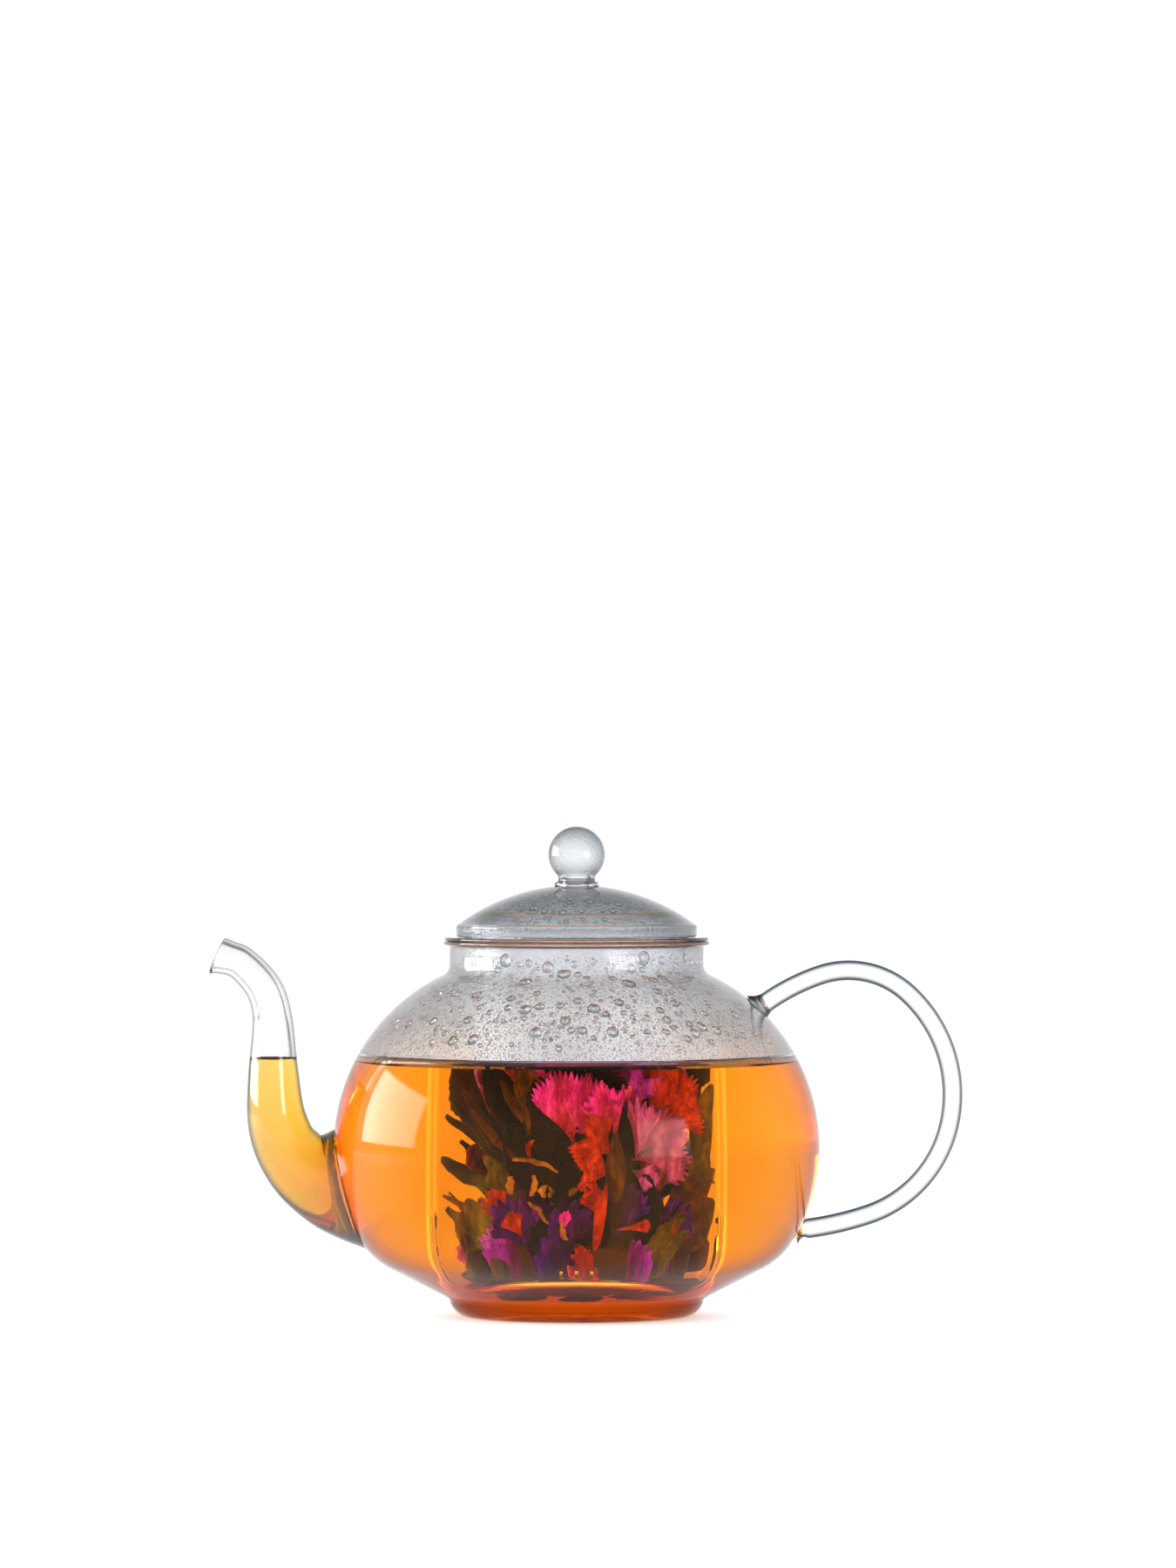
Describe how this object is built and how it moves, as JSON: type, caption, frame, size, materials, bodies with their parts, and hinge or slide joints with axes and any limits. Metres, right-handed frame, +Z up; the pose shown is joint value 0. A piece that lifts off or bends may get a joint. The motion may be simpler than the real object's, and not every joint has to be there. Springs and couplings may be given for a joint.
{
  "type": "glass teapot with infuser",
  "caption": "Round blown-glass teapot with a curved spout, an ear-shaped rod handle, a lift-out glass infuser and a domed lid with a ball knob.",
  "frame": {"origin": "centre of the foot's flat underside, on the pot's axis of revolution", "axes": "+Z up the pot's axis, +X towards the handle, so the spout points to -X; +Y completes the right-handed frame"},
  "size_m": [0.2247, 0.1452, 0.1461],
  "materials": {
    "pot_glass": "clear, fire polished",
    "infuser_glass": "clear, fire polished",
    "lid_glass": "clear, misted inside",
    "tea": "clear amber liquid, the visual model's contents only",
    "flower": "wet petals and leaves, the visual model's contents only"
  },
  "bodies": {
    "pot": {"pot_body": "pot_glass", "spout_collar": "pot_glass", "spout_tube": "pot_glass", "handle_rod": "pot_glass", "handle_upper_weld": "pot_glass", "handle_lower_weld": "pot_glass"},
    "infuser": {"infuser": "infuser_glass"},
    "lid": {"lid_dome": "lid_glass", "lid_collar": "lid_glass", "knob": "lid_glass", "knob_weld": "lid_glass"}
  },
  "joints": [
    {"name": "infuser_lift", "type": "slide", "parent": "pot", "child": "infuser", "axis": [0, 0, 1], "range_m": [0, 0.115]},
    {"name": "lid_lift", "type": "slide", "parent": "infuser", "child": "lid", "axis": [0, 0, 1], "range_m": [0, 0.06]}
  ]
}
